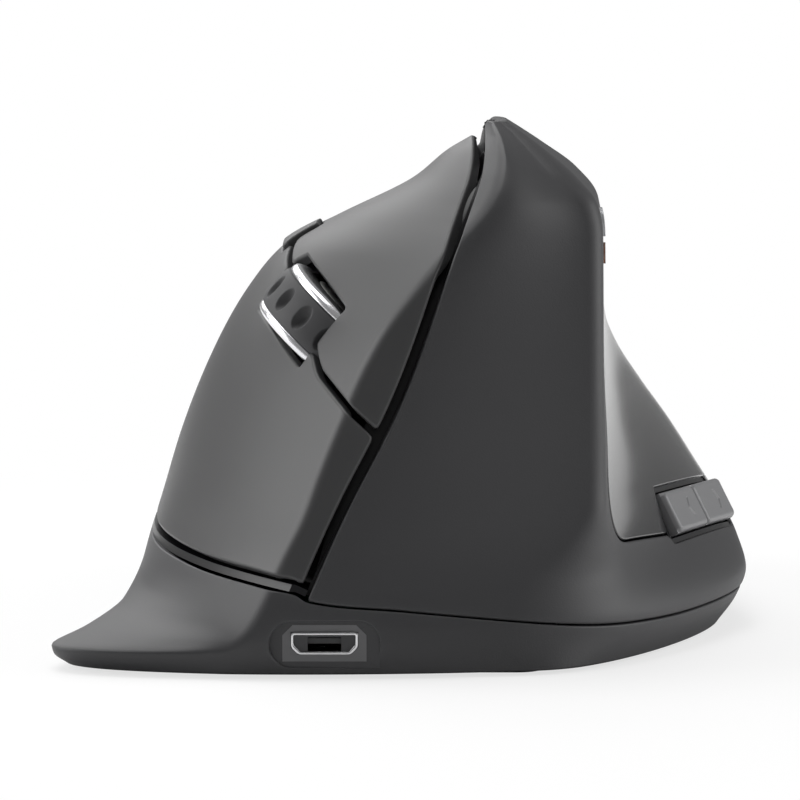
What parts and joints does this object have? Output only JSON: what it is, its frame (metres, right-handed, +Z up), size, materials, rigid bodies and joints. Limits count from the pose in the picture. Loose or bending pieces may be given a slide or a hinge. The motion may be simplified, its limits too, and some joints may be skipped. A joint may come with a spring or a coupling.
{
  "type": "vertical mouse",
  "caption": "Right-hand vertical mouse with sloped finger keys, scroll wheel, thumb rest with keys, little-finger lip and a charging port in its front.",
  "frame": {"origin": "under the middle of the mouse, on the plane of its glide feet", "axes": "+Z up, -Y the front wall with the charging port, +X the thumb side"},
  "size_m": [0.0815, 0.1199, 0.0611],
  "materials": {
    "shell_black": "fine soft-touch texture",
    "key_grey": "satin",
    "panel_gloss": "gloss",
    "inner_black": "gloss",
    "thumb_grey": "satin",
    "lens_grey": "translucent",
    "lens_amber": "smoked translucent",
    "wheel_rubber": "matte",
    "rim_silver": "satin chrome",
    "white_plastic": "plain",
    "steel": "bright",
    "board_green": "solder mask",
    "switch_black": "plain",
    "chip_black": "plain",
    "cell_foil": "foil",
    "port_metal": "bright",
    "bezel_grey": "translucent",
    "foot_ptfe": "slippery",
    "clear_lens": "clear"
  },
  "bodies": {
    "housing": {"base_shell": "shell_black", "main_shell": "shell_black", "key_carrier": "inner_black", "thumb_panel": "panel_gloss", "thumb_bezel": "inner_black", "indicator_lens": "lens_grey", "charge_lens": "lens_amber", "cradle_pin": "steel", "wheel_stand": "white_plastic", "key_board": "board_green", "index_switch": "switch_black", "middle_switch": "switch_black", "wheel_switch": "switch_black", "dpi_switch": "switch_black", "forward_switch": "switch_black", "back_switch": "switch_black", "thumb_board": "board_green", "main_board": "board_green", "main_chip": "chip_black", "optical_sensor": "chip_black", "sensor_lamp": "clear_lens", "power_switch": "switch_black", "battery": "cell_foil", "usb_port": "port_metal", "usb_tongue": "switch_black", "usb_bezel": "bezel_grey", "sensor_lens": "clear_lens", "glide_feet": "foot_ptfe", "shell_screws": "steel", "board_screws": "steel"},
    "index_key": {"index_key": "key_grey"},
    "middle_key": {"middle_key": "key_grey"},
    "dpi_button": {"dpi_button": "key_grey"},
    "forward_key": {"forward_key": "thumb_grey"},
    "back_key": {"back_key": "thumb_grey"},
    "wheel_cradle": {"wheel_cradle": "white_plastic", "encoder": "switch_black"},
    "wheel": {"wheel_tyre": "wheel_rubber", "wheel_rims": "rim_silver", "wheel_hub": "white_plastic", "wheel_axle": "steel"},
    "power_slider": {"power_slider": "thumb_grey"}
  },
  "joints": [
    {"name": "index_press", "type": "hinge", "parent": "housing", "child": "index_key", "pos_m": [-0.01396, -0.00403, 0.04299], "axis": [0.6669, -0.0409, 0.7441], "range_deg": [0, 0.45], "stiffness_Nm_per_rad": 2, "springref_deg": -0.23},
    {"name": "middle_press", "type": "hinge", "parent": "housing", "child": "middle_key", "pos_m": [-0.01396, -0.00403, 0.04299], "axis": [0.6669, -0.0409, 0.7441], "range_deg": [0, 0.45], "stiffness_Nm_per_rad": 2, "springref_deg": -0.23},
    {"name": "wheel_press", "type": "hinge", "parent": "housing", "child": "wheel_cradle", "pos_m": [-0.00736, -0.01903, 0.03625], "axis": [0.6669, -0.0409, 0.7441], "range_deg": [0, 2], "stiffness_Nm_per_rad": 0.6, "springref_deg": -0.69},
    {"name": "wheel_spin", "type": "hinge", "parent": "wheel_cradle", "child": "wheel", "pos_m": [-0.00735, -0.03393, 0.03543], "axis": [0.6669, -0.0409, 0.7441], "continuous": true},
    {"name": "dpi_press", "type": "slide", "parent": "housing", "child": "dpi_button", "axis": [0.7243, 0.2704, -0.6343], "range_m": [0, 0.0004], "stiffness_N_per_m": 800, "springref_m": -0.0003},
    {"name": "forward_press", "type": "slide", "parent": "housing", "child": "forward_key", "axis": [-0.8418, 0.2619, -0.4719], "range_m": [0, 0.0005], "stiffness_N_per_m": 1000, "springref_m": -0.0003},
    {"name": "back_press", "type": "slide", "parent": "housing", "child": "back_key", "axis": [-0.8418, 0.2619, -0.4719], "range_m": [0, 0.0005], "stiffness_N_per_m": 1000, "springref_m": -0.0003},
    {"name": "power_slide", "type": "slide", "parent": "housing", "child": "power_slider", "axis": [1, 0, 0], "range_m": [-0.00125, 0.00125]}
  ]
}
